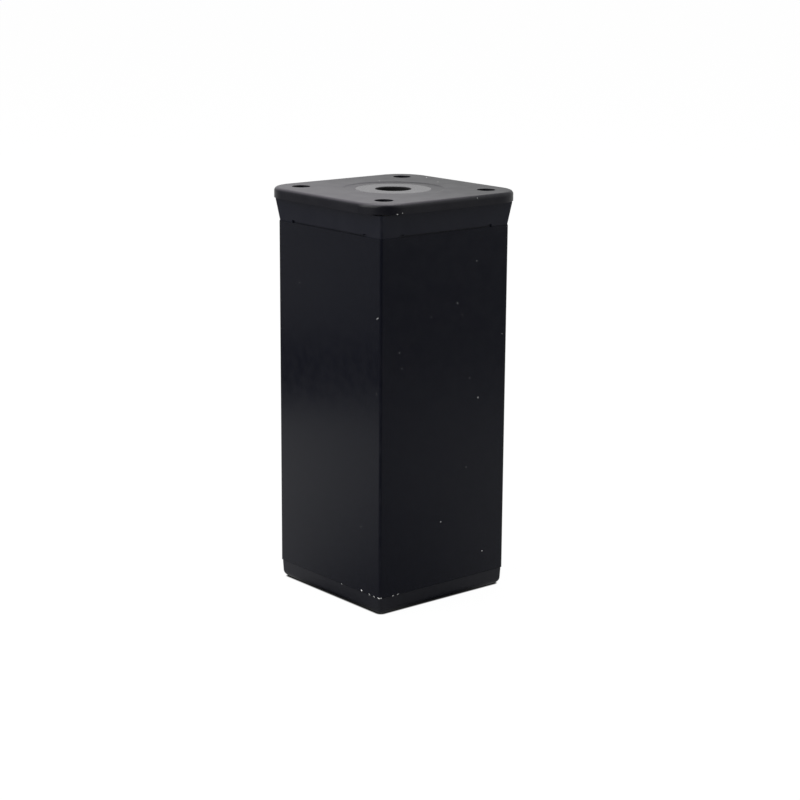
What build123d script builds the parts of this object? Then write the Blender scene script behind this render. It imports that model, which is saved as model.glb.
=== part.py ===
from build123d import *
import math
import os

# Square furniture leg with a screw-on plate and a levelling foot.
# Millimetres, +Z up, origin on the floor at the middle of the foot, foot screwed home.

# Overall
leg_height = 100.0  # floor to the top of the plate

# Tube: square aluminium extrusion
tube_width = 40.0
tube_wall = 1.5
tube_corner_radius = 0.6
tube_inner_radius = 0.5

# Mounting plate: stamped steel
plate_width = 46.0
plate_thickness = 2.5
plate_corner_radius = 8.0
plate_top_edge_radius = 0.9  # the rolled edge that the stamping leaves on top
screw_spacing = 32.0
screw_hole_diameter = 4.5
screw_head_diameter = 7.9  # countersink mouth on the underside, 90 degrees
dish_diameter = 25.2
dish_edge_width = 0.7
dish_depth = 0.15

# Plate bush: steel sleeve pressed into the plate, with an outside thread that the leg screws on to
bush_bore_diameter = 8.5
bush_wall = 1.75
bush_flange_diameter = 18.6
bush_flange_thickness = 1.0
bush_mouth_chamfer = 0.3  # round the top of the bore
bush_projection = 1.45  # below the collar's nut
bush_clearance = 0.05  # to the plate and the collar

# Nuts: hexagons for the bush's thread and for the spindle's thread
collar_nut_width = 19.0
collar_nut_height = 6.0
insert_nut_width = 17.0
insert_nut_height = 8.0
nut_clearance = 0.05  # to the plastic pocket, each side
thread_clearance = 0.08  # the threads are left smooth, so each runs in a plain hole

# Collar: plastic moulding between the plate and the tube
collar_height = 5.9
collar_overhang = 0.68  # each side, how far the top rim stands out from the tube
collar_seam_inset = 0.12  # each side, how far the lower edge stays inside the tube's faces
collar_edge_radius = 0.6
collar_deck_thickness = 3.4
collar_plug_depth = 20.0
land_diameter = 34.0  # raised land that carries the plate
land_height = 0.35
seam_relief_height = 0.35  # shallow step over the tube's edge, between the corners
seam_relief_depth = 0.5
seam_corner_length = 5.6
seam_notch_height = 0.65  # the step is taller at its two ends
seam_notch_length = 1.2
boss_wall = 2.0  # round the nut's corners
boss_rim = 1.0  # below the nut

# Play between pieces that move past each other
moving_clearance = 0.3

# Plugs: what both plastic plugs share, in the two ends of the tube
plug_clearance = 0.2  # plug wall to tube wall, each side
plug_wall = 2.0
plug_corner_radius = 1.2
crush_rib_width = 1.2
crush_rib_spacing = 11.0
crush_rib_setback = 2.5  # from the plug's leading end
web_thickness = 1.6

# Tube insert: lower plug, with the nut's pocket
insert_height = 22.0
insert_floor = 2.0
insert_boss_wall = 2.0
insert_roof = 4.0

# Levelling spindle
spindle_diameter = 10.0
spindle_top_height = 41.0  # above the floor
spindle_head_diameter = 16.0
spindle_head_thickness = 3.0
spindle_head_chamfer = 0.5
spindle_tip_chamfer = 1.0
spindle_neck_diameter = 9.0
key_width = 5.0
key_depth = 6.0

# Foot: square plastic glide that snaps over the spindle's head
foot_inset = 0.1  # each side, inside the tube's faces
foot_draft = 0.2  # each side, from the top edge to the floor
foot_thickness = 4.3
foot_gap = 0.1  # foot to tube, screwed home
foot_corner_radius = 0.8
foot_bottom_radius = 1.7
foot_floor = 2.4  # plastic under the spindle's head
foot_boss_diameter = 22.0
foot_boss_height = 9.6  # above the floor
foot_boss_clearance = 0.5  # to the insert, each side
socket_clearance = 0.1  # round the spindle's head
socket_float = 0.2  # over and under the spindle's head
snap_overlap = 0.6  # how far the lip reaches over the head, each side
snap_lip_height = 1.2
snap_slot_width = 1.4
core_depth = 1.1  # moulding pockets in the foot's underside
core_rim = 3.2
core_rib = 2.4

# Heights that follow
tube_bottom = foot_thickness + foot_gap
plate_bottom = leg_height - plate_thickness
tube_top = plate_bottom - collar_height
tube_inside = tube_width - 2 * tube_wall
deck_top = plate_bottom - land_height
deck_bottom = deck_top - collar_deck_thickness
collar_nut_bottom = deck_bottom - collar_nut_height
flange_seat = leg_height - dish_depth - bush_flange_thickness

# Widths that follow
bush_radius = bush_bore_diameter / 2 + bush_wall
bush_hole_radius = bush_radius + bush_clearance
plug_width = tube_inside - 2 * plug_clearance
foot_width = tube_width - 2 * foot_inset

# The insert's inner levels: the foot's boss, then the nut, then the roof that holds the nut down
counterbore_radius = foot_boss_diameter / 2 + foot_boss_clearance
counterbore_top = foot_boss_height + 2 * moving_clearance
insert_nut_top = counterbore_top + insert_nut_height
insert_boss_radius = counterbore_radius + insert_boss_wall
insert_roof_top = insert_nut_top + insert_roof
spindle_hole_radius = spindle_diameter / 2 + moving_clearance

# The socket in the foot and the spindle's head in it
socket_radius = spindle_head_diameter / 2 + socket_clearance
socket_top = foot_floor + spindle_head_thickness + 2 * socket_float
head_bottom = foot_floor + socket_float
head_top = head_bottom + spindle_head_thickness
lip_radius = spindle_head_diameter / 2 - snap_overlap


def square(width, radius, z):
    """Rounded square face at height z."""
    return Pos(0, 0, z) * RectangleRounded(width, width, radius)


def square_bar(width, radius, low, high):
    """Upright bar of rounded square section."""
    return extrude(square(width, radius, low), high - low)


def flared_bar(section, flare, low, high):
    """Upright bar with the section at its top, drawn in by flare on each side at its bottom."""
    draft = math.degrees(math.atan2(flare, high - low))
    return Pos(0, 0, high) * Rot(180, 0, 0) * extrude(section, high - low, taper=draft)


def disc(radius, low, high):
    """Upright cylinder from low to high."""
    return Pos(0, 0, low) * extrude(Circle(radius), high - low)


def turned(points):
    """Solid turned about Z from an outline of (radius, height) points."""
    outline = make_face(Plane.XZ * Polyline(*points, close=True))
    return revolve(outline, Axis.Z)


def around(count, shape):
    """Copies of a shape turned about Z."""
    return [Rot(0, 0, 360 / count * k) * shape for k in range(count)]


def corner_holes(shape):
    """Copies of a shape at the four screw positions."""
    half = screw_spacing / 2
    return [Pos(x, y, 0) * shape for x in (-half, half) for y in (-half, half)]


def edges_at(solid, z):
    """Edges that lie at one height."""
    return solid.edges().filter_by_position(Axis.Z, z - 1e-4, z + 1e-4)


def uprights(solid):
    """Edges that run up the solid, plumb or nearly so."""
    return [edge for edge in solid.edges() if abs(edge.tangent_at(0.5).Z) > 0.9]


def crush_ribs(low, high):
    """Ribs on the plug's four walls that press on the inside of the tube."""
    depth = plug_wall / 2 + plug_clearance
    rib = Box(depth, crush_rib_width, high - low, align=(Align.MAX, Align.CENTER, Align.MIN))
    ribs = []
    for y in (-crush_rib_spacing, 0, crush_rib_spacing):
        ribs += around(4, Pos(tube_inside / 2, y, low) * rib)
    return ribs


def plug_shell(low, high):
    """Four plug walls, open at both ends."""
    inside = plug_width - 2 * plug_wall
    shell = square_bar(plug_width, plug_corner_radius, low, high)
    return shell - square_bar(inside, plug_corner_radius / 2, low, high)


def webs(inner_radius, low, high):
    """Four ribs from a round boss out to the plug walls."""
    reach = plug_width / 2 - plug_wall / 2
    length = reach - inner_radius
    web = Box(length, web_thickness, high - low, align=(Align.MIN, Align.CENTER, Align.MIN))
    return around(4, Pos(inner_radius, 0, low) * web)


def make_mounting_plate():
    plate = square_bar(plate_width, plate_corner_radius, plate_bottom, leg_height)
    plate = fillet(edges_at(plate, leg_height), plate_top_edge_radius)
    dish_radius = dish_diameter / 2
    dish_floor = leg_height - dish_depth
    plate -= turned([
        (0, leg_height),
        (dish_radius, leg_height),
        (dish_radius - dish_edge_width, dish_floor),
        (0, dish_floor),
    ])
    plate -= disc(bush_flange_diameter / 2 + bush_clearance, flange_seat, leg_height)
    plate -= disc(bush_hole_radius, plate_bottom, leg_height)
    hole_radius = screw_hole_diameter / 2
    head_radius = screw_head_diameter / 2
    sink = turned([
        (0, plate_bottom),
        (head_radius, plate_bottom),
        (hole_radius, plate_bottom + head_radius - hole_radius),
        (hole_radius, leg_height),
        (0, leg_height),
    ])
    for hole in corner_holes(sink):
        plate -= hole
    return plate


def make_plate_bush():
    bore = bush_bore_diameter / 2
    flange = bush_flange_diameter / 2
    bottom = collar_nut_bottom - bush_projection
    top = leg_height - dish_depth
    return turned([
        (bore, bottom),
        (bush_radius, bottom),
        (bush_radius, flange_seat),
        (flange, flange_seat),
        (flange, top),
        (bore + bush_mouth_chamfer, top),
        (bore, top - bush_mouth_chamfer),
    ])


def hexagon(width, low, high):
    """Hexagonal bar across flats width."""
    return Pos(0, 0, low) * extrude(RegularPolygon(width / 2, 6, major_radius=False), high - low)


def corner_radius(width):
    """From the middle of a hexagon to its corners."""
    return width / 2 / math.cos(math.radians(30))


def hexagon_nut(width, thread_radius, bottom, top):
    """Nut with the corners of its lower face turned off at 30 degrees."""
    corner = corner_radius(width)
    chamfer_width = corner - width / 2
    chamfer_height = chamfer_width * math.tan(math.radians(30))
    blank = turned([
        (thread_radius + thread_clearance, bottom),
        (corner - chamfer_width, bottom),
        (corner, bottom + chamfer_height),
        (corner, top),
        (thread_radius + thread_clearance, top),
    ])
    return blank & hexagon(width, bottom, top)


def make_collar_nut():
    return hexagon_nut(collar_nut_width, bush_radius, collar_nut_bottom, deck_bottom)


def make_collar():
    rim_width = tube_width + 2 * collar_overhang
    flare = collar_overhang + collar_seam_inset
    skirt = flared_bar(Rectangle(rim_width, rim_width), flare, tube_top, deck_top)
    skirt = fillet(uprights(skirt), collar_edge_radius)
    plug_bottom = tube_top - collar_plug_depth
    plug_inside = plug_width - 2 * plug_wall
    collar = skirt + plug_shell(plug_bottom, tube_top)
    collar -= square_bar(plug_inside, plug_corner_radius / 2, plug_bottom, deck_bottom)
    collar += disc(land_diameter / 2, deck_bottom, plate_bottom)
    boss_radius = corner_radius(collar_nut_width) + boss_wall
    boss_bottom = collar_nut_bottom - boss_rim
    collar += disc(boss_radius, boss_bottom, deck_top)
    for piece in webs(boss_radius - boss_wall / 2, boss_bottom, deck_bottom):
        collar += piece
    for piece in crush_ribs(plug_bottom + crush_rib_setback, tube_top):
        collar += piece
    collar -= hexagon(collar_nut_width + 2 * nut_clearance, boss_bottom, deck_bottom)
    collar -= disc(bush_hole_radius, boss_bottom, plate_bottom)

    seam_length = tube_width - 2 * seam_corner_length
    seam = Box(2 * seam_relief_depth, seam_length, 2 * seam_relief_height)
    notch = Box(2 * seam_relief_depth, seam_notch_length, 2 * seam_notch_height)
    notch_place = (seam_length - seam_notch_length) / 2
    for y, cut in ((0, seam), (-notch_place, notch), (notch_place, notch)):
        for piece in around(4, Pos(tube_width / 2, y, tube_top) * cut):
            collar -= piece
    return collar


def make_tube():
    outer = square_bar(tube_width, tube_corner_radius, tube_bottom, tube_top)
    return outer - square_bar(tube_inside, tube_inner_radius, tube_bottom, tube_top)


def make_tube_insert():
    top = tube_bottom + insert_height
    insert = plug_shell(tube_bottom, top)
    insert += square_bar(plug_width, plug_corner_radius, tube_bottom, tube_bottom + insert_floor)
    insert += disc(insert_boss_radius, tube_bottom, insert_roof_top)
    for piece in webs(insert_boss_radius - insert_boss_wall / 2, tube_bottom, insert_roof_top):
        insert += piece
    for piece in crush_ribs(tube_bottom, top - crush_rib_setback):
        insert += piece
    insert -= disc(counterbore_radius, tube_bottom, counterbore_top)
    insert -= hexagon(insert_nut_width + 2 * nut_clearance, tube_bottom, insert_nut_top)
    insert -= disc(spindle_hole_radius, tube_bottom, insert_roof_top)
    return insert


def make_insert_nut():
    return hexagon_nut(insert_nut_width, spindle_diameter / 2, counterbore_top, insert_nut_top)


def make_levelling_spindle():
    head = spindle_head_diameter / 2
    shank = spindle_diameter / 2
    neck = spindle_neck_diameter / 2
    neck_top = counterbore_top - moving_clearance
    top = spindle_top_height
    spindle = turned([
        (0, head_bottom),
        (head - spindle_head_chamfer, head_bottom),
        (head, head_bottom + spindle_head_chamfer),
        (head, head_top),
        (neck, head_top),
        (neck, neck_top),
        (shank, neck_top),
        (shank, top - spindle_tip_chamfer),
        (shank - spindle_tip_chamfer, top),
        (0, top),
    ])
    return spindle - hexagon(key_width, top - key_depth, top)


def make_foot():
    pad = flared_bar(Rectangle(foot_width, foot_width), foot_draft, 0, foot_thickness)
    pad = fillet(edges_at(pad, 0), foot_bottom_radius)
    pad = fillet(uprights(pad), foot_corner_radius)
    foot = pad + disc(foot_boss_diameter / 2, foot_floor, foot_boss_height)
    mouth = lip_radius + (foot_boss_height - socket_top - snap_lip_height)
    foot -= turned([
        (0, foot_floor),
        (socket_radius, foot_floor),
        (socket_radius, socket_top),
        (lip_radius, socket_top),
        (lip_radius, socket_top + snap_lip_height),
        (mouth, foot_boss_height),
        (0, foot_boss_height),
    ])
    slot = Box(foot_boss_diameter, snap_slot_width, foot_boss_height - foot_thickness,
               align=(Align.CENTER, Align.CENTER, Align.MIN))
    for piece in around(2, Pos(0, 0, foot_thickness) * slot):
        foot -= Rot(0, 0, 45) * piece

    core_width = foot_width - 2 * (foot_draft + core_rim)
    core = square_bar(core_width, foot_corner_radius, 0, core_depth)
    core -= Box(foot_boss_diameter, foot_boss_diameter, 2 * core_depth)
    for turn in (0, 90):
        core -= Rot(0, 0, turn) * Box(foot_width, core_rib, 2 * core_depth)
    return foot - core


def main():
    os.makedirs("parts", exist_ok=True)
    pieces = {
        "mounting_plate": make_mounting_plate(),
        "plate_bush": make_plate_bush(),
        "collar_nut": make_collar_nut(),
        "collar": make_collar(),
        "tube": make_tube(),
        "tube_insert": make_tube_insert(),
        "insert_nut": make_insert_nut(),
        "levelling_spindle": make_levelling_spindle(),
        "foot": make_foot(),
    }
    for name, solid in pieces.items():
        export_step(solid, f"parts/{name}.step")


main()
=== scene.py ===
import math

import bpy
import numpy as np
from mathutils import Matrix, Vector


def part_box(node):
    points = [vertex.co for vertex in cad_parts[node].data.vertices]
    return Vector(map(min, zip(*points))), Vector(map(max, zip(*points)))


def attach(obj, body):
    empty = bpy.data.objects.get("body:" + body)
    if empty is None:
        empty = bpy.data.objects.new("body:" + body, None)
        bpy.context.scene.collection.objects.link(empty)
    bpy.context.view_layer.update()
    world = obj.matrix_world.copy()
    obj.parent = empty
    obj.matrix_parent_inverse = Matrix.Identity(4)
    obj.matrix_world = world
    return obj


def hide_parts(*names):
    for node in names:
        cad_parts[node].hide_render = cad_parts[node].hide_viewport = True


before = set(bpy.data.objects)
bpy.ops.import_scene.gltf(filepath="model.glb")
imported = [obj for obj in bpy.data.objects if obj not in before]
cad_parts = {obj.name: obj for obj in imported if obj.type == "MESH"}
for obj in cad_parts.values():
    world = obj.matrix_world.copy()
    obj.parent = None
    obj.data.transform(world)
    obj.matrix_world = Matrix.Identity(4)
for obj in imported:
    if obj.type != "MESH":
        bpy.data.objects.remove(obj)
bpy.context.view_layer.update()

# A square black furniture leg on a white table. Lengths are in metres, angles in radians.
MM = 0.001

# The camera, from a fit of the leg's own edges in the photograph
VIEW_AZIMUTH = math.radians(-39.71)
VIEW_ELEVATION = math.radians(13.44)
VIEW_ROLL = math.radians(0.38)
VIEW_DISTANCE = 497.0 * MM
AIM_SIDEWAYS = 1.97 * MM
AIM_HEIGHT = 46.97 * MM
FOCAL_PIXELS = 1991.8
IMAGE_PIXELS = 800
SENSOR_WIDTH = 36.0  # millimetres, as the camera data wants it

# What the frame gives
TUBE_LOW, TUBE_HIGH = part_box("tube")
FOOT_LOW, FOOT_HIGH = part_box("foot")
PLATE_LOW, PLATE_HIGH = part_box("mounting_plate")
SPINDLE_LOW, SPINDLE_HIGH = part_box("levelling_spindle")


def add_object(name, data):
    """A new object of this mesh, camera or lamp, in the scene."""
    new = bpy.data.objects.new(name, data)
    bpy.context.scene.collection.objects.link(new)
    return new


def view_axes():
    """Right, up and back of the camera: back points from the leg to it, and the roll turns the others."""
    across, rise = math.cos(VIEW_ELEVATION), math.sin(VIEW_ELEVATION)
    back = Vector((math.sin(VIEW_AZIMUTH) * across, -math.cos(VIEW_AZIMUTH) * across, rise))
    level = back.to_track_quat("Z", "Y").to_matrix()
    return level @ Matrix.Rotation(VIEW_ROLL, 3, "Z")


def view_place():
    """Where the camera stands: back from the aim by the distance."""
    x, y = AIM_SIDEWAYS * math.cos(VIEW_AZIMUTH), AIM_SIDEWAYS * math.sin(VIEW_AZIMUTH)
    return Vector((x, y, AIM_HEIGHT)) + VIEW_DISTANCE * view_axes().col[2]


def add_camera():
    data = bpy.data.cameras.new("camera")
    data.sensor_width = SENSOR_WIDTH
    data.lens = FOCAL_PIXELS * SENSOR_WIDTH / IMAGE_PIXELS
    camera = add_object("camera", data)
    camera.matrix_world = Matrix.Translation(view_place()) @ view_axes().to_4x4()
    bpy.context.scene.camera = camera


# Shader nodes

def opaque(colour):
    return (*colour, 1.0)


def grey(level):
    return (level, level, level, 1.0)


def empty_nodes(owner):
    """The node tree of a material or a world, emptied."""
    owner.use_nodes = True
    owner.node_tree.nodes.clear()
    return owner.node_tree


def feed(tree, socket, value):
    """Feed a socket by a value or by another node's output."""
    if isinstance(value, bpy.types.NodeSocket):
        tree.links.new(value, socket)
    else:
        socket.default_value = value


def add_node(tree, kind, feeds=None, **settings):
    """One node with its settings, and its inputs fed by name."""
    node = tree.nodes.new(kind)
    for name, value in settings.items():
        setattr(node, name, value)
    for name, value in (feeds or {}).items():
        feed(tree, node.inputs[name], value)
    return node


def maths(tree, operation, first, second=0.0):
    node = add_node(tree, "ShaderNodeMath", operation=operation)
    feed(tree, node.inputs[0], first)
    feed(tree, node.inputs[1], second)
    return node.outputs[0]


def product(tree, first, *others):
    """The first value times each of the others."""
    for other in others:
        first = maths(tree, "MULTIPLY", first, other)
    return first


def vector_maths(tree, operation, first, second=(0.0, 0.0, 0.0)):
    node = add_node(tree, "ShaderNodeVectorMath", operation=operation)
    feed(tree, node.inputs[0], first)
    feed(tree, node.inputs[1], second)
    return node.outputs["Value" if operation in ("LENGTH", "DOT_PRODUCT") else "Vector"]


def components(tree, vector):
    """The X, Y and Z of a vector, as outputs by name."""
    return add_node(tree, "ShaderNodeSeparateXYZ", {"Vector": vector}).outputs


def spread(tree, value, low, high, to_low=0.0, to_high=1.0):
    """Value from low..high laid on to_low..to_high with soft ends."""
    feeds = {"Value": value, "From Min": low, "From Max": high, "To Min": to_low, "To Max": to_high}
    node = add_node(tree, "ShaderNodeMapRange", feeds, interpolation_type="SMOOTHSTEP")
    return node.outputs["Result"]


def levels(tree, value, reach, steps):
    """A grey level by value: steps are pairs of value and level, joined by straight runs, up to reach."""
    node = add_node(tree, "ShaderNodeValToRGB", {"Fac": maths(tree, "DIVIDE", value, reach)})
    elements = node.color_ramp.elements
    for place, _ in steps[len(elements):]:
        elements.new(place / reach)
    for element, (place, level) in zip(elements, steps):
        element.position = place / reach
        element.color = grey(level)
    return node.outputs["Color"]


def blend_colours(tree, share, first, second):
    """First where share is 0, second where it is 1. The inputs go by number, as several share a name."""
    node = add_node(tree, "ShaderNodeMix", data_type="RGBA")
    feed(tree, node.inputs[0], share)
    feed(tree, node.inputs[6], first)
    feed(tree, node.inputs[7], second)
    return node.outputs[2]


def object_place(tree):
    return add_node(tree, "ShaderNodeTexCoord").outputs["Object"]


def faces_up(tree, low, high, to_low=0.0):
    """By the height of the surface's normal: to_low where it is low or less, 1 where it is high or more."""
    normal = add_node(tree, "ShaderNodeNewGeometry").outputs["Normal"]
    return spread(tree, components(tree, normal)["Z"], low, high, to_low)


def noise(tree, place, scale, detail=2.0, roughness=0.5):
    feeds = {"Vector": place, "Scale": scale, "Detail": detail, "Roughness": roughness}
    return add_node(tree, "ShaderNodeTexNoise", feeds).outputs["Fac"]


def bump(tree, height, distance):
    return add_node(tree, "ShaderNodeBump", {"Height": height, "Distance": distance}).outputs["Normal"]


# Effects that several finishes share, as shader groups

SWELL_SCALE = 0.16  # as a share of the grain's scale
PATCH_RANGE = (0.42, 0.72)
GRIT_SCALE = 2600.0
GRIT_RANGE = (0.45, 0.75)
LEAST_DUST = 0.25  # on faces that look down, as a share of what lies on those that look up
WEAR_SCALE = 420.0
WEAR_RANGE = (0.4, 0.7)


def new_group(name, inputs, outputs):
    """An empty shader group with number inputs and outputs, and the sockets of its two end nodes."""
    tree = bpy.data.node_groups.new(name, "ShaderNodeTree")
    for socket, value in inputs.items():
        made = tree.interface.new_socket(socket, in_out="INPUT", socket_type="NodeSocketFloat")
        made.default_value = value
    for socket in outputs:
        tree.interface.new_socket(socket, in_out="OUTPUT", socket_type="NodeSocketFloat")
    return tree, tree.nodes.new("NodeGroupInput").outputs, tree.nodes.new("NodeGroupOutput").inputs


def make_grain_group():
    """Surface grain: fine pits and broad swells of noise, with Height for a bump and Shade for tone."""
    tree, given, out = new_group("surface_grain", {"Scale": 1000.0, "Swell": 0.35}, ["Height", "Shade"])
    place = object_place(tree)
    pits = noise(tree, place, given["Scale"], detail=3.0, roughness=0.6)
    swells = noise(tree, place, product(tree, given["Scale"], SWELL_SCALE), detail=1.0)
    tree.links.new(maths(tree, "ADD", pits, product(tree, swells, given["Swell"])), out["Height"])
    tree.links.new(swells, out["Shade"])
    return tree


def make_dust_group():
    """Settled dust: patches of a broad noise broken up by a fine one, thicker on faces that look up."""
    tree, given, out = new_group("settled_dust", {"Amount": 0.1, "Scale": 60.0}, ["Mask"])
    place = object_place(tree)
    patches = spread(tree, noise(tree, place, given["Scale"], detail=3.0), *PATCH_RANGE)
    grit = spread(tree, noise(tree, place, GRIT_SCALE), *GRIT_RANGE)
    settled = faces_up(tree, -0.1, 0.9, LEAST_DUST)
    tree.links.new(product(tree, patches, grit, settled, given["Amount"]), out["Mask"])
    return tree


def make_edge_group():
    """Rubbed corners of a square piece: 1 where both |x| and |y| come near the half width, broken by noise.

    The wear is full below the height Wear Full and fades out up to Wear Top.
    """
    inputs = {"Half Width": 20 * MM, "Reach": 0.6 * MM, "Wear Top": 1.0, "Wear Full": 0.5}
    tree, given, out = new_group("rubbed_corners", inputs, ["Mask"])
    place = object_place(tree)
    x, y, z = components(tree, place)
    across = maths(tree, "MINIMUM", maths(tree, "ABSOLUTE", x), maths(tree, "ABSOLUTE", y))
    start = maths(tree, "SUBTRACT", given["Half Width"], given["Reach"])
    corner = spread(tree, across, start, given["Half Width"])
    broken = spread(tree, noise(tree, place, WEAR_SCALE, detail=4.0, roughness=0.65), *WEAR_RANGE)
    knocked = spread(tree, z, given["Wear Top"], given["Wear Full"])
    tree.links.new(product(tree, corner, broken, knocked), out["Mask"])
    return tree


GRAIN = make_grain_group()
DUST = make_dust_group()
EDGES = make_edge_group()


def use_group(tree, group, **values):
    """A shader group placed in a material with its own values; _ stands for a space in a socket's name."""
    node = add_node(tree, "ShaderNodeGroup", node_tree=group)
    for name, value in values.items():
        feed(tree, node.inputs[name.replace("_", " ")], value)
    return node.outputs


# Finishes

# Colour of settled dust, and of the pale film of painted sheen on the plate and the bush
DUST_AND_SHEEN_COLOUR = (0.405, 0.372, 0.425)
RUBBED_COLOUR = (0.03, 0.03, 0.035)
RUBBED_SHARE = 0.35
# Painted shade: the near-black wall inside the plate's bore, where the hole lies in shade
BORE_PAINTED_SHADE = (0.002, 0.002, 0.0025)
ROUGHNESS_SWING = 0.02  # to each side
NOISE_RANGE = (0.3, 0.7)  # most of a noise lies between these


def new_material(name):
    """A material of one Principled BSDF, with its node tree and that shader."""
    material = bpy.data.materials.new(name)
    tree = empty_nodes(material)
    shader = add_node(tree, "ShaderNodeBsdfPrincipled")
    output = add_node(tree, "ShaderNodeOutputMaterial")
    tree.links.new(shader.outputs["BSDF"], output.inputs["Surface"])
    return material, tree, shader


def painted_sheen_share(tree, no_sheen, full_sheen):
    """Painted sheen on surfaces that face up: 0 at x = no_sheen and 1 at x = full_sheen."""
    x = components(tree, object_place(tree))["X"]
    return product(tree, spread(tree, x, no_sheen, full_sheen), faces_up(tree, 0.3, 1.0))


def bore_share(tree, radius):
    """1 inside a bore of this radius round Z, 0 outside it."""
    flat = vector_maths(tree, "MULTIPLY", object_place(tree), (1.0, 1.0, 0.0))
    return maths(tree, "LESS_THAN", vector_maths(tree, "LENGTH", flat), radius)


def make_black_finish(name, colour, lighter, roughness, grain, depth, dust, specular=0.5,
                      corners=None, painted_sheen=0.0, bore=None):
    """A dark satin finish: grain in its bump, slow changes of tone and gloss, settled dust.

    grain is the scale of the pits and depth their depth. corners are the values of the rubbed corners of a
    square piece, painted_sheen is the share of a pale film in the dust's colour, a painted sheen that grows
    towards -X, and bore is the radius of a bore whose wall is painted black and matt, as painted shade.
    """
    material, tree, shader = new_material(name)
    surface = use_group(tree, GRAIN, Scale=grain)
    tone = spread(tree, surface["Shade"], *NOISE_RANGE)
    base = blend_colours(tree, tone, opaque(colour), opaque(lighter))
    if corners:
        rubbed = product(tree, use_group(tree, EDGES, **corners)["Mask"], RUBBED_SHARE)
        base = blend_colours(tree, rubbed, base, opaque(RUBBED_COLOUR))
    film = use_group(tree, DUST, Amount=dust)["Mask"]
    base = blend_colours(tree, film, base, opaque(DUST_AND_SHEEN_COLOUR))
    # Painted sheen: a pale film in the dust's colour on faces that look up, strongest towards -X, lightens
    # that side
    if painted_sheen:
        share = product(tree, painted_sheen_share(tree, PLATE_HIGH.x, PLATE_LOW.x), painted_sheen)
        base = blend_colours(tree, share, base, opaque(DUST_AND_SHEEN_COLOUR))
    smoother, rougher = roughness - ROUGHNESS_SWING, roughness + ROUGHNESS_SWING
    gloss = maths(tree, "ADD", spread(tree, surface["Shade"], 0.25, 0.75, smoother, rougher), film)
    # Painted shade: the bore's wall turns near black and matt
    if bore:
        inside = bore_share(tree, bore)
        base = blend_colours(tree, inside, base, opaque(BORE_PAINTED_SHADE))
        gloss = maths(tree, "MAXIMUM", gloss, inside)
    feed(tree, shader.inputs["Base Color"], base)
    feed(tree, shader.inputs["Roughness"], gloss)
    feed(tree, shader.inputs["Normal"], bump(tree, surface["Height"], depth))
    shader.inputs["Specular IOR Level"].default_value = specular
    return material


def make_zinc(name):
    """Bright zinc plate: a cool metal with cloudy gloss and a fine grain."""
    material, tree, shader = new_material(name)
    surface = use_group(tree, GRAIN, Scale=900.0)
    cloud = spread(tree, noise(tree, object_place(tree), 180.0, detail=4.0), *NOISE_RANGE)
    base = blend_colours(tree, cloud, opaque((0.50, 0.51, 0.53)), opaque((0.68, 0.68, 0.67)))
    feed(tree, shader.inputs["Base Color"], base)
    feed(tree, shader.inputs["Roughness"], spread(tree, cloud, 0.0, 1.0, 0.24, 0.38))
    feed(tree, shader.inputs["Normal"], bump(tree, surface["Height"], 0.004 * MM))
    shader.inputs["Metallic"].default_value = 1.0
    return material


def make_lint(name):
    """Pale lint and grit: a matt light grey, uneven from fleck to fleck."""
    material, tree, shader = new_material(name)
    place = object_place(tree)
    tone = spread(tree, noise(tree, place, 900.0), *NOISE_RANGE)
    base = blend_colours(tree, tone, opaque((0.70, 0.70, 0.70)), opaque((0.90, 0.90, 0.88)))
    feed(tree, shader.inputs["Base Color"], base)
    feed(tree, shader.inputs["Roughness"], spread(tree, tone, 0.0, 1.0, 0.85, 0.95))
    feed(tree, shader.inputs["Normal"], bump(tree, noise(tree, place, 9000.0), 0.01 * MM))
    return material


# New pieces

def add_piece(name, points, faces, material, body):
    """A smooth mesh from an n x 3 array of points and faces as lists of indices, riding on a body."""
    mesh = bpy.data.meshes.new(name)
    mesh.from_pydata(points.tolist(), [], faces)
    mesh.shade_smooth()
    mesh.materials.append(material)
    mesh.update()
    piece = add_object(name, mesh)
    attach(piece, body)
    return piece


def shell_faces(rows, columns, first=0):
    """Faces of a closed shell of rings: quads between the rings, and a fan of triangles at each end.

    The last column joins the first. The fans meet in two end points, which follow the rings' points, and
    first is the number of the shell's first point.
    """
    start = first + np.arange(rows - 1)[:, None] * columns
    here = np.arange(columns)[None, :]
    there = (here + 1) % columns
    quads = np.stack([start + here, start + there, start + columns + there, start + columns + here], axis=2)
    low_end, high_end = first + rows * columns, first + rows * columns + 1
    edge = first + (rows - 1) * columns
    low = np.stack([np.full(columns, low_end), first + there[0], first + here[0]], axis=1)
    high = np.stack([np.full(columns, high_end), edge + here[0], edge + there[0]], axis=1)
    return quads.reshape(-1, 4).tolist() + low.tolist() + high.tolist()


# The levelling spindle: M10 thread with a 1.5 mm pitch, a round head below and a hexagon socket in its top
THREAD_PITCH = 1.5 * MM
THREAD_CREST = 5.0 * MM
THREAD_ROOT = 4.1 * MM
THREAD_FLAT = 0.18  # the flats at the crest and at the root, each as a share of the pitch
THREAD_START = 9.9 * MM
NECK_RADIUS = 4.4 * MM
HEAD_RADIUS = 8.0 * MM
HEAD_TOP = 5.6 * MM
HEAD_CHAMFER = 0.5 * MM
TIP_CHAMFER = 1.0 * MM
KEY_WIDTH = 5.0 * MM
KEY_DEPTH = 6.0 * MM
KEY_TAPER = 2.0 * MM
KEY_BEVEL = 0.35 * MM
KEY_POINT = 0.2 * MM
SPINDLE_COLUMNS = 96
RINGS_A_TURN = 12


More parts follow.
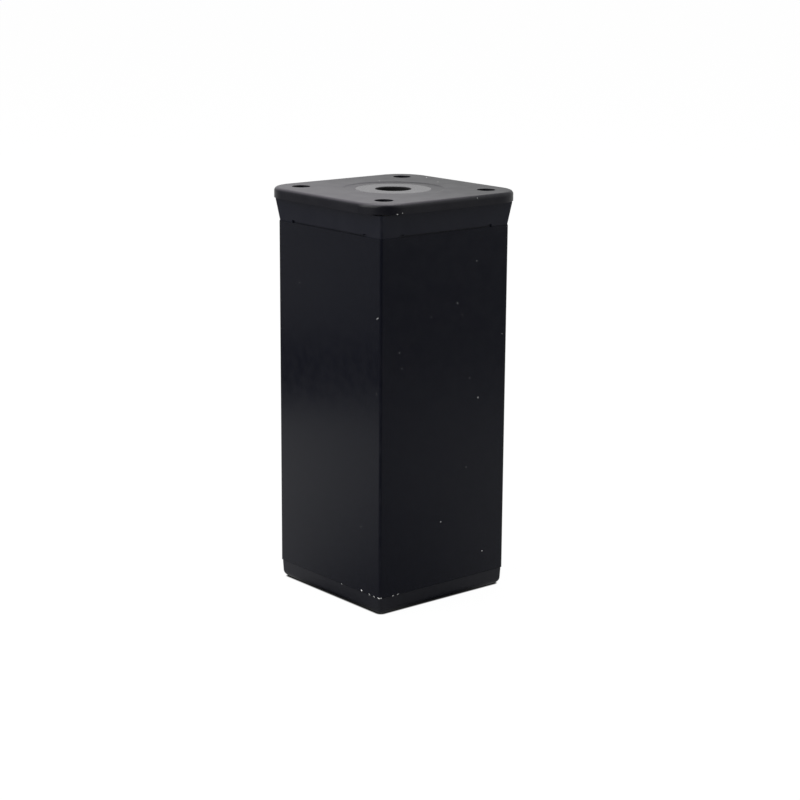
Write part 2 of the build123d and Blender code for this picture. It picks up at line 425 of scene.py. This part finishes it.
def thread_radius(angle, height):
    """Right-hand thread: the radius falls and rises once a pitch, flat at the crest and at the root.

    The phase is height / pitch less the share of a turn; a triangle wave of it is cut off at both ends.
    """
    phase = height / THREAD_PITCH - angle / (2 * math.pi)
    wave = 2 * np.abs(phase - np.floor(phase) - 0.5)
    share = np.clip((wave - THREAD_FLAT) / (1 - 2 * THREAD_FLAT), 0, 1)
    return THREAD_ROOT + (THREAD_CREST - THREAD_ROOT) * share


def hexagon_radius(angle, width):
    """Distance from a hexagon's middle to its side at each angle.

    It is half the width across flats, divided by the cosine of the angle from the nearest flat's middle.
    """
    return width / 2 / np.cos(np.mod(angle + math.pi / 6, math.pi / 3) - math.pi / 6)


def add_spindle(material):
    """Head, neck, thread and socket as one turned shell, from the underside's middle to the socket's floor.

    Row i, column j lies at (r cos a, r sin a, z), with r and z from the rings and a = 2 pi j / columns.
    """
    angle = np.linspace(0, 2 * math.pi, SPINDLE_COLUMNS, endpoint=False)[None, :]
    low, top = SPINDLE_LOW.z, SPINDLE_HIGH.z

    def ring(radius, height):
        return np.full((1, SPINDLE_COLUMNS), radius), np.full((1, SPINDLE_COLUMNS), height)

    rings = int(round((top - THREAD_START) / THREAD_PITCH * RINGS_A_TURN))
    height = np.linspace(THREAD_START, top, rings)[:, None] + 0 * angle
    chamfered = THREAD_CREST - (height - (top - TIP_CHAMFER))
    thread = np.minimum(thread_radius(angle, height), chamfered)
    thread = np.maximum(thread, THREAD_CREST - TIP_CHAMFER)
    thread[0] = NECK_RADIUS
    key = hexagon_radius(angle, KEY_WIDTH)
    profile = [
        ring(HEAD_RADIUS - HEAD_CHAMFER, low),
        ring(HEAD_RADIUS, low + HEAD_CHAMFER),
        ring(HEAD_RADIUS, HEAD_TOP),
        ring(NECK_RADIUS, HEAD_TOP),
        (thread, height),
        (key + KEY_BEVEL, np.full_like(key, top)),
        (key, np.full_like(key, top - KEY_BEVEL)),
        (key, np.full_like(key, top - KEY_DEPTH + KEY_TAPER)),
        ring(KEY_POINT, top - KEY_DEPTH),
    ]
    radius = np.vstack([r for r, z in profile])
    heights = np.vstack([z for r, z in profile])
    points = np.stack([radius * np.cos(angle), radius * np.sin(angle), heights], axis=2).reshape(-1, 3)
    points = np.vstack([points, [[0, 0, heights[0, 0]], [0, 0, heights[-1, 0]]]])
    faces = shell_faces(*radius.shape)
    piece = add_piece("threaded_spindle", points, faces, material, "spindle")
    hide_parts("levelling_spindle")


# Dust flecks: the pixel in the photograph (x, y), length and width in millimetres, tilt in degrees
FLECKS_ON_LEFT_FACE = [
    (299.5, 282.5, 0.16, 0.14, 0), (377.5, 318.7, 0.95, 0.13, 38), (376.6, 394.3, 0.14, 0.14, 0),
    (360.9, 526.3, 0.20, 0.12, 30), (341.7, 583.9, 0.50, 0.11, -20), (361.6, 590.4, 0.46, 0.46, 0),
    (369.5, 594.6, 0.66, 0.13, -20), (374.1, 596.8, 0.66, 0.13, -20), (378.7, 598.4, 0.90, 0.22, -4),
]
FLECKS_ON_RIGHT_FACE = [
    (476.8, 260.8, 0.16, 0.14, 0), (457.5, 303.2, 0.16, 0.24, 0), (462.6, 314.8, 0.12, 0.12, 0),
    (431.4, 317.2, 0.14, 0.13, 0), (399.4, 353.1, 0.15, 0.15, 0), (401.8, 368.5, 0.13, 0.13, 0),
    (478.0, 397.5, 0.16, 0.46, 8), (469.7, 378.0, 0.12, 0.12, 0), (502.0, 333.8, 0.14, 0.14, 0),
    (465.9, 467.0, 0.13, 0.13, 0), (440.6, 521.8, 0.26, 0.26, 0), (481.9, 550.9, 0.26, 0.26, 0),
    (381.0, 598.3, 0.50, 0.20, 10), (393.0, 595.7, 0.60, 0.12, 15), (397.8, 594.3, 0.60, 0.12, 15),
]
FLECKS_ON_PLATE = [
    (426.4, 177.4, 0.95, 0.30, 50), (438.0, 181.7, 0.75, 0.26, 50), (379.3, 180.8, 0.80, 0.34, 50),
]
FLECKS_ON_PLATE_EDGE = [
    (477.4, 198.0, 0.22, 0.14, 0), (397.5, 214.4, 0.44, 0.14, 14), (402.5, 213.2, 0.26, 0.12, 14),
]
FLECK_ROWS = 7
FLECK_COLUMNS = 10
FLECK_THICKNESS = 0.05 * MM
FILM_THICKNESS = 0.005 * MM  # on the plate, which reaches the model's own bounds
FLECK_LUMPS = 0.12
FLECK_SEED = 4


def sight_point(x, y, point, out):
    """Where the line of sight through a pixel of the photograph meets the plane at a point, facing out."""
    half = IMAGE_PIXELS / 2
    start = view_place()
    ray = view_axes() @ Vector((x - half, half - y, -FOCAL_PIXELS))
    return start + ray * ((point - start).dot(out) / ray.dot(out))


def fleck_points(centre, length, width, thickness, tilt, out, chance):
    """One lump: an ellipsoid of half axes length / 2, width / 2 and the thickness, tilted in its face.

    Its radius is varied by 1 + lumps sin(3 u + p) cos(v + q), u round it and v from end to end, p and q by
    chance.
    """
    upright = Vector((0, 0, 1)) if abs(out.z) < 0.5 else Vector((0, 1, 0))
    level = upright.cross(out)
    along = np.array(level * math.cos(tilt) + upright * math.sin(tilt))
    across = np.array(upright * math.cos(tilt) - level * math.sin(tilt))
    u = np.linspace(0, 2 * math.pi, FLECK_COLUMNS, endpoint=False)[None, :]
    v = np.linspace(-math.pi / 2, math.pi / 2, FLECK_ROWS + 2)[1:-1, None]
    p, q = chance.uniform(0, 2 * math.pi, 2)
    lump = 1 + FLECK_LUMPS * np.sin(3 * u + p) * np.cos(v + q)
    rings = (
        (length / 2 * lump * np.cos(v) * np.cos(u))[..., None] * along
        + (width / 2 * lump * np.cos(v) * np.sin(u))[..., None] * across
        + (thickness * np.sin(v) * np.ones_like(u))[..., None] * np.array(out)
    )
    ends = np.array([-thickness, thickness])[:, None] * np.array(out)
    return np.array(centre) + np.vstack([rings.reshape(-1, 3), ends])


def add_flecks(material):
    """All the flecks as one mesh, each half sunk in the face that carries it."""
    left, right, up = Vector((-1, 0, 0)), Vector((0, -1, 0)), Vector((0, 0, 1))
    carriers = [
        (TUBE_LOW, left, FLECK_THICKNESS, FLECKS_ON_LEFT_FACE),
        (TUBE_LOW, right, FLECK_THICKNESS, FLECKS_ON_RIGHT_FACE),
        (PLATE_HIGH, up, FILM_THICKNESS, FLECKS_ON_PLATE),
        (PLATE_LOW, right, FILM_THICKNESS, FLECKS_ON_PLATE_EDGE),
    ]
    chance = np.random.default_rng(FLECK_SEED)
    points, faces = [], []
    for point, out, thickness, flecks in carriers:
        for x, y, length, width, tilt in flecks:
            centre = sight_point(x, y, point, out)
            size = (length * MM, width * MM, thickness, math.radians(tilt))
            faces += shell_faces(FLECK_ROWS, FLECK_COLUMNS, len(points) * (FLECK_ROWS * FLECK_COLUMNS + 2))
            points.append(fleck_points(centre, *size, out, chance))
    add_piece("dust_flecks", np.vstack(points), faces, material, "leg")


# Stage

WHITE = grey(1.0)
GLOW_FALL = 1.7
ROOM_IN_GLOSS = 0.63
ROOM_LIGHT = 0.45

FLOOR_SIZE = 40.0
FLOOR_WHITE = 0.96
FLOOR_SHADE = 0.07  # how much of the light on the table the camera sees, for the leg's shadow
FLOOR_TO_LIGHT = 0.8
FLOOR_IN_GLOSS = 1.6

# How light the table is in gloss by the distance from the leg's middle: dark under and round the foot
TABLE_REACH = 500 * MM
TABLE_LEVELS = [
    (20 * MM, 0.0), (26 * MM, 0.66), (60 * MM, 0.86), (110 * MM, 0.98), (190 * MM, 0.94), (300 * MM, 0.42),
]
# How much lighter it is by the foot's front corner, and over what distance that falls away
FRONT_GAIN = 2.8
FRONT_REACH = 22 * MM
# A dark band across the table, left behind the leg, where the left face mirrors it
BAND_DIRECTION = (-0.64, 0.77, 0.0)
BAND_BEARING = (0.80, 0.95)  # cosines, from where the band starts to where it is full
BAND_LEVELS = [(203 * MM, 1.0), (226 * MM, 0.0), (300 * MM, 0.0), (345 * MM, 1.0)]
# Painted shadow: a dark rounded square on the table under the foot's rounded lower edge, where its contact
# shadow falls
GAP_SHADOW_BLACK = 0.012
GAP_CORNER = 1.5 * MM
GAP_INSET = 0.45 * MM
GAP_SOFT = 0.35 * MM

# Name, place, side and power in watts
SOFTBOXES = [
    ("key_softbox", (-0.75, 0.10, 0.55), 1.0, 4.2),
    ("fill_softbox", (0.55, -0.65, 0.45), 1.2, 1.4),
    ("top_softbox", (0.10, 0.15, 0.95), 0.7, 3.0),
]


def add_shaders(tree, first, second):
    node = add_node(tree, "ShaderNodeAddShader")
    tree.links.new(first, node.inputs[0])
    tree.links.new(second, node.inputs[1])
    return node.outputs[0]


def mix_shaders(tree, share, first, second):
    node = add_node(tree, "ShaderNodeMixShader")
    tree.links.new(share, node.inputs[0])
    tree.links.new(first, node.inputs[1])
    tree.links.new(second, node.inputs[2])
    return node.outputs[0]


def by_ray(tree, seen, mirrored, lighting):
    """One shader for what the camera sees, also through glass, one for gloss, one for all other light."""
    path = add_node(tree, "ShaderNodeLightPath").outputs
    to_camera = maths(tree, "MAXIMUM", path["Is Camera Ray"], path["Is Transmission Ray"])
    unseen = mix_shaders(tree, path["Is Glossy Ray"], lighting, mirrored)
    return mix_shaders(tree, to_camera, unseen, seen)


def room_glow(tree, direction):
    """What gloss sees of the room: 1 towards the white wall behind the leg, and less away from it.

    It is e to the power of the fall times (cosine - 1), for the cosine between the direction and the wall's.
    """
    wall = (-math.sin(VIEW_AZIMUTH), math.cos(VIEW_AZIMUTH), 0.0)
    cosine = vector_maths(tree, "DOT_PRODUCT", vector_maths(tree, "NORMALIZE", direction), wall)
    return maths(tree, "EXPONENT", product(tree, maths(tree, "SUBTRACT", cosine, 1.0), GLOW_FALL))


def square_distance(tree, half_width, corner):
    """Distance from the sides of a square with rounded corners, below 0 inside it.

    It is the length of what lies beyond half width - corner along x and y, less the corner's radius.
    """
    inner = half_width - corner
    beyond = vector_maths(tree, "ABSOLUTE", object_place(tree))
    beyond = vector_maths(tree, "SUBTRACT", beyond, (inner, inner, 0.0))
    beyond = vector_maths(tree, "MAXIMUM", beyond, (0.0, 0.0, 0.0))
    return maths(tree, "SUBTRACT", vector_maths(tree, "LENGTH", beyond), corner)


def front_gain(tree):
    """1 far from the foot's front corner, more near it: 1 + gain times e to the power -distance / reach."""
    away = vector_maths(tree, "SUBTRACT", object_place(tree), (FOOT_LOW.x, FOOT_LOW.y, 0.0))
    fall = maths(tree, "EXPONENT", maths(tree, "DIVIDE", vector_maths(tree, "LENGTH", away), -FRONT_REACH))
    return maths(tree, "ADD", product(tree, fall, FRONT_GAIN), 1.0)


def table_glow(tree):
    """What gloss sees of the table: the room's glow times the band, the levels by distance and the gain."""
    place = object_place(tree)
    distance = vector_maths(tree, "LENGTH", place)
    bearing = vector_maths(tree, "DOT_PRODUCT", vector_maths(tree, "NORMALIZE", place), BAND_DIRECTION)
    band = levels(tree, distance, TABLE_REACH, BAND_LEVELS)
    band = blend_colours(tree, spread(tree, bearing, *BAND_BEARING), WHITE, band)
    by_distance = levels(tree, distance, TABLE_REACH, TABLE_LEVELS)
    return product(tree, room_glow(tree, place), band, by_distance, front_gain(tree))


def make_floor_material():
    """White table, split by what looks at it.

    The camera sees white with a faint shadow, a painted shadow in a dark square under the foot's rounded
    edge, and through it from below. Gloss sees the table's glow, and to all other light it is a plain pale
    matt.
    """
    material = bpy.data.materials.new("white_table")
    tree = empty_nodes(material)
    gap_shadow_width = FOOT_HIGH.x - GAP_INSET
    # Painted shadow: near black inside the foot's inset footprint, with no light from the table there
    gap_shadow = spread(tree, square_distance(tree, gap_shadow_width, GAP_CORNER), GAP_SOFT, -GAP_SOFT)
    bright = blend_colours(tree, gap_shadow, grey(FLOOR_WHITE), grey(GAP_SHADOW_BLACK))
    shaded = blend_colours(tree, gap_shadow, grey(FLOOR_SHADE), grey(0.0))
    white = add_node(tree, "ShaderNodeEmission", {"Color": bright}).outputs[0]
    shade = add_node(tree, "ShaderNodeBsdfDiffuse", {"Color": shaded}).outputs[0]
    below = add_node(tree, "ShaderNodeNewGeometry").outputs["Backfacing"]
    clear = add_node(tree, "ShaderNodeBsdfTransparent").outputs[0]
    seen = mix_shaders(tree, below, add_shaders(tree, white, shade), clear)
    feeds = {"Color": table_glow(tree), "Strength": FLOOR_IN_GLOSS}
    mirrored = add_node(tree, "ShaderNodeEmission", feeds).outputs[0]
    matt = add_node(tree, "ShaderNodeBsdfDiffuse", {"Color": grey(FLOOR_TO_LIGHT)}).outputs[0]
    output = add_node(tree, "ShaderNodeOutputMaterial")
    tree.links.new(by_ray(tree, seen, mirrored, matt), output.inputs["Surface"])
    return material


def add_floor():
    """The table. The leg stands on its foot, so the table stays under it when the foot is lowered."""
    half = FLOOR_SIZE / 2
    corners = [(-half, -half, 0), (half, -half, 0), (half, half, 0), (-half, half, 0)]
    mesh = bpy.data.meshes.new("table")
    mesh.from_pydata(corners, [], [(0, 1, 2, 3)])
    mesh.materials.append(make_floor_material())
    floor = add_object("table", mesh)
    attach(floor, "foot")


def add_world():
    """White surroundings to the camera, the room's glow in gloss, and a soft plain light from all sides."""
    world = bpy.data.worlds.new("studio")
    tree = empty_nodes(world)

    def background(colour, strength):
        return add_node(tree, "ShaderNodeBackground", {"Color": colour, "Strength": strength}).outputs[0]

    direction = add_node(tree, "ShaderNodeTexCoord").outputs["Generated"]
    mirrored = background(room_glow(tree, direction), ROOM_IN_GLOSS)
    output = add_node(tree, "ShaderNodeOutputWorld")
    surroundings = by_ray(tree, background(WHITE, 1.0), mirrored, background(WHITE, ROOM_LIGHT))
    tree.links.new(surroundings, output.inputs["Surface"])
    bpy.context.scene.world = world


def add_softbox(name, place, side, power):
    """A square area lamp that looks at the middle of the leg."""
    data = bpy.data.lights.new(name, "AREA")
    data.shape = "SQUARE"
    data.size = side
    data.energy = power
    lamp = add_object(name, data)
    place = Vector(place)
    turn = (place - Vector((0, 0, AIM_HEIGHT))).to_track_quat("Z", "Y")
    lamp.matrix_world = Matrix.Translation(place) @ turn.to_matrix().to_4x4()


bpy.context.scene.view_settings.view_transform = "Standard"
add_camera()
add_world()
add_floor()
for softbox in SOFTBOXES:
    add_softbox(*softbox)

# The plate's pale film towards -X is painted sheen
powder_coat = make_black_finish(
    "satin_powder_coat",
    colour=(0.0045, 0.0045, 0.0095), lighter=(0.0065, 0.0065, 0.0115),
    roughness=0.34, specular=0.6, grain=1500.0, depth=0.006 * MM, dust=0.04, painted_sheen=0.235,
)
# The bush's dark grey is partly its own lighter tone and partly painted sheen for the bright reflection on
# its ring
bush_finish_with_sheen = make_black_finish(
    "satin_black_bush",
    colour=(0.080, 0.079, 0.085), lighter=(0.095, 0.094, 0.100),
    roughness=0.24, specular=0.9, grain=2600.0, depth=0.001 * MM, dust=0.02, painted_sheen=0.16, bore=4.45 * MM,
)
tube_coat = make_black_finish(
    "satin_black_aluminium",
    colour=(0.0046, 0.0053, 0.0104), lighter=(0.0051, 0.0058, 0.0110),
    roughness=0.21, grain=2400.0, depth=0.002 * MM, dust=0.015,
    corners={"Half_Width": TUBE_HIGH.x, "Wear_Top": 78 * MM, "Wear_Full": 40 * MM},
)
collar_plastic = make_black_finish(
    "moulded_collar_plastic",
    colour=(0.0070, 0.0082, 0.0175), lighter=(0.0084, 0.0096, 0.0190),
    roughness=0.42, grain=2000.0, depth=0.006 * MM, dust=0.03,
    corners={"Half_Width": 20.2 * MM, "Reach": 0.9 * MM},
)
foot_plastic = make_black_finish(
    "moulded_foot_plastic",
    colour=(0.0120, 0.0126, 0.0180), lighter=(0.0134, 0.0140, 0.0194),
    roughness=0.36, grain=2000.0, depth=0.006 * MM, dust=0.02,
)
zinc = make_zinc("bright_zinc_plate")
lint = make_lint("pale_lint")

FINISHES = {
    "mounting_plate": powder_coat,
    "plate_bush": bush_finish_with_sheen,
    "collar": collar_plastic,
    "collar_nut": zinc,
    "tube": tube_coat,
    "tube_insert": foot_plastic,
    "insert_nut": zinc,
    "levelling_spindle": zinc,
    "foot": foot_plastic,
}
for node, material in FINISHES.items():
    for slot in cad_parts[node].material_slots:
        slot.material = material

add_spindle(zinc)
add_flecks(lint)
